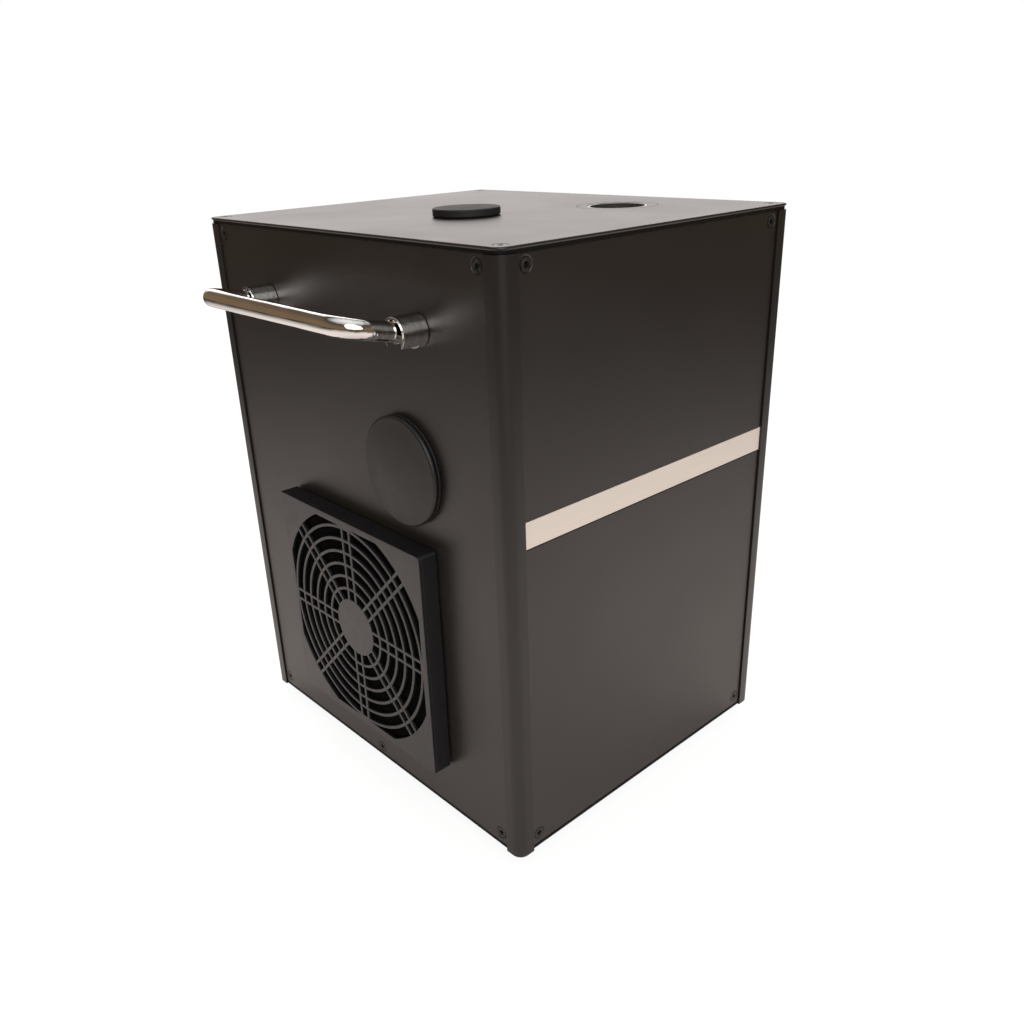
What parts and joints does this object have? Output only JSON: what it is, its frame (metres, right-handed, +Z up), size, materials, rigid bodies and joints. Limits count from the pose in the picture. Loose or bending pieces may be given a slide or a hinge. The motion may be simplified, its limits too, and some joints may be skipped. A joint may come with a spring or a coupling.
{
  "type": "cold spark machine",
  "caption": "Free-standing stage effect machine: a black metal cabinet with a round nozzle and filler cap on top, a side fan and side handles that fold down.",
  "frame": {"origin": "centre of the bounding box's footprint, on the floor under the rubber feet", "axes": "+Z up, -Y out of the front panel with the stripe, -X out of the side with the fan"},
  "size_m": [0.2774, 0.238, 0.307],
  "materials": {
    "corner_post_front_left": "satin black anodised",
    "corner_post_front_right": "satin black anodised",
    "corner_post_rear_left": "satin black anodised",
    "corner_post_rear_right": "satin black anodised",
    "front_panel": "satin black anodised",
    "left_panel": "satin black anodised",
    "rear_panel": "satin black anodised",
    "right_panel": "satin black anodised",
    "top_plate": "satin black anodised",
    "bottom_plate": "satin black anodised",
    "nozzle_flange": "satin black anodised",
    "left_handle_boss_front": "polished chrome plate",
    "left_handle_boss_rear": "polished chrome plate",
    "right_handle_boss_front": "polished chrome plate",
    "right_handle_boss_rear": "polished chrome plate",
    "left_handle_bar": "polished chrome plate",
    "right_handle_bar": "polished chrome plate",
    "foot_front_left": "matte black rubber",
    "foot_front_right": "matte black rubber",
    "foot_rear_left": "matte black rubber",
    "foot_rear_right": "matte black rubber",
    "fan_guard": "moulded black",
    "fan_guard_base": "moulded black",
    "fan_housing": "moulded black",
    "fan_rotor": "moulded black",
    "side_port_collar": "moulded black",
    "blower_housing": "moulded black",
    "blower_impeller": "moulded black",
    "control_bezel": "moulded black",
    "menu_button_1": "moulded black",
    "menu_button_2": "moulded black",
    "menu_button_3": "moulded black",
    "menu_button_4": "moulded black",
    "switch_frame": "moulded black",
    "power_rocker": "moulded black",
    "mains_inlet": "moulded black",
    "side_port_cap": "satin black",
    "filler_cap": "satin black",
    "nozzle_tube": "turned or bare sheet",
    "heating_tube": "turned or bare sheet",
    "core_bracket": "turned or bare sheet",
    "feed_tube": "turned or bare sheet",
    "feed_screw": "turned or bare sheet",
    "feed_motor": "turned or bare sheet",
    "signal_input": "turned or bare sheet",
    "signal_output": "turned or bare sheet",
    "front_stripe": "satin",
    "filler_collar": "satin",
    "hopper": "satin",
    "power_supply": "satin",
    "fan_filter": "open-cell foam",
    "insulation_sleeve": "ceramic fibre",
    "heating_coil": "copper tube",
    "display_window": "smoked clear",
    "display_board": "green circuit board",
    "control_board": "green circuit board"
  },
  "bodies": {
    "cabinet": {"corner_post_front_left": "corner_post_front_left", "corner_post_front_right": "corner_post_front_right", "corner_post_rear_left": "corner_post_rear_left", "corner_post_rear_right": "corner_post_rear_right", "front_panel": "front_panel", "left_panel": "left_panel", "rear_panel": "rear_panel", "right_panel": "right_panel", "top_plate": "top_plate", "bottom_plate": "bottom_plate", "nozzle_flange": "nozzle_flange", "left_handle_boss_front": "left_handle_boss_front", "left_handle_boss_rear": "left_handle_boss_rear", "right_handle_boss_front": "right_handle_boss_front", "right_handle_boss_rear": "right_handle_boss_rear", "foot_front_left": "foot_front_left", "foot_front_right": "foot_front_right", "foot_rear_left": "foot_rear_left", "foot_rear_right": "foot_rear_right", "fan_guard": "fan_guard", "fan_guard_base": "fan_guard_base", "fan_housing": "fan_housing", "side_port_collar": "side_port_collar", "blower_housing": "blower_housing", "control_bezel": "control_bezel", "switch_frame": "switch_frame", "mains_inlet": "mains_inlet", "nozzle_tube": "nozzle_tube", "heating_tube": "heating_tube", "core_bracket": "core_bracket", "feed_tube": "feed_tube", "feed_motor": "feed_motor", "signal_input": "signal_input", "signal_output": "signal_output", "front_stripe": "front_stripe", "filler_collar": "filler_collar", "hopper": "hopper", "power_supply": "power_supply", "fan_filter": "fan_filter", "insulation_sleeve": "insulation_sleeve", "heating_coil": "heating_coil", "display_window": "display_window", "display_board": "display_board", "control_board": "control_board"},
    "left_handle": {"left_handle_bar": "left_handle_bar"},
    "right_handle": {"right_handle_bar": "right_handle_bar"},
    "fan_rotor": {"fan_rotor": "fan_rotor"},
    "blower_impeller": {"blower_impeller": "blower_impeller"},
    "feed_screw": {"feed_screw": "feed_screw"},
    "filler_cap": {"filler_cap": "filler_cap"},
    "side_port_cap": {"side_port_cap": "side_port_cap"},
    "menu_button_1": {"menu_button_1": "menu_button_1"},
    "menu_button_2": {"menu_button_2": "menu_button_2"},
    "menu_button_3": {"menu_button_3": "menu_button_3"},
    "menu_button_4": {"menu_button_4": "menu_button_4"},
    "power_rocker": {"power_rocker": "power_rocker"}
  },
  "joints": [
    {"name": "left_handle_fold", "type": "hinge", "parent": "cabinet", "child": "left_handle", "pos_m": [-0.1063, -0.0025, 0.265], "axis": [0, -1, 0], "range_deg": [0, 102.7]},
    {"name": "right_handle_fold", "type": "hinge", "parent": "cabinet", "child": "right_handle", "pos_m": [0.1063, -0.0025, 0.265], "axis": [0, 1, 0], "range_deg": [0, 102.7]},
    {"name": "fan_spin", "type": "hinge", "parent": "cabinet", "child": "fan_rotor", "pos_m": [-0.0745, -0.0049, 0.099], "axis": [-1, 0, 0], "continuous": true},
    {"name": "blower_spin", "type": "hinge", "parent": "cabinet", "child": "blower_impeller", "pos_m": [0.0235, -0.047, 0.088], "axis": [0, -1, 0], "continuous": true},
    {"name": "feed_screw_turn", "type": "hinge", "parent": "cabinet", "child": "feed_screw", "pos_m": [-0.0398, -0.047, 0.1965], "axis": [1, 0, 0], "continuous": true},
    {"name": "filler_cap_lift", "type": "slide", "parent": "cabinet", "child": "filler_cap", "axis": [0, 0, 1], "range_m": [0, 0.03]},
    {"name": "side_port_cap_pull", "type": "slide", "parent": "cabinet", "child": "side_port_cap", "axis": [-1, 0, 0], "range_m": [0, 0.02]},
    {"name": "menu_button_1_press", "type": "slide", "parent": "cabinet", "child": "menu_button_1", "axis": [0, -1, 0], "range_m": [0, 0.001], "stiffness_N_per_m": 1200, "springref_m": -0.0004},
    {"name": "menu_button_2_press", "type": "slide", "parent": "cabinet", "child": "menu_button_2", "axis": [0, -1, 0], "range_m": [0, 0.001], "stiffness_N_per_m": 1200, "springref_m": -0.0004},
    {"name": "menu_button_3_press", "type": "slide", "parent": "cabinet", "child": "menu_button_3", "axis": [0, -1, 0], "range_m": [0, 0.001], "stiffness_N_per_m": 1200, "springref_m": -0.0004},
    {"name": "menu_button_4_press", "type": "slide", "parent": "cabinet", "child": "menu_button_4", "axis": [0, -1, 0], "range_m": [0, 0.001], "stiffness_N_per_m": 1200, "springref_m": -0.0004},
    {"name": "power_rocker_tip", "type": "hinge", "parent": "cabinet", "child": "power_rocker", "pos_m": [0.071, 0.1115, 0.054], "axis": [-1, 0, 0], "range_deg": [0, 14]}
  ]
}
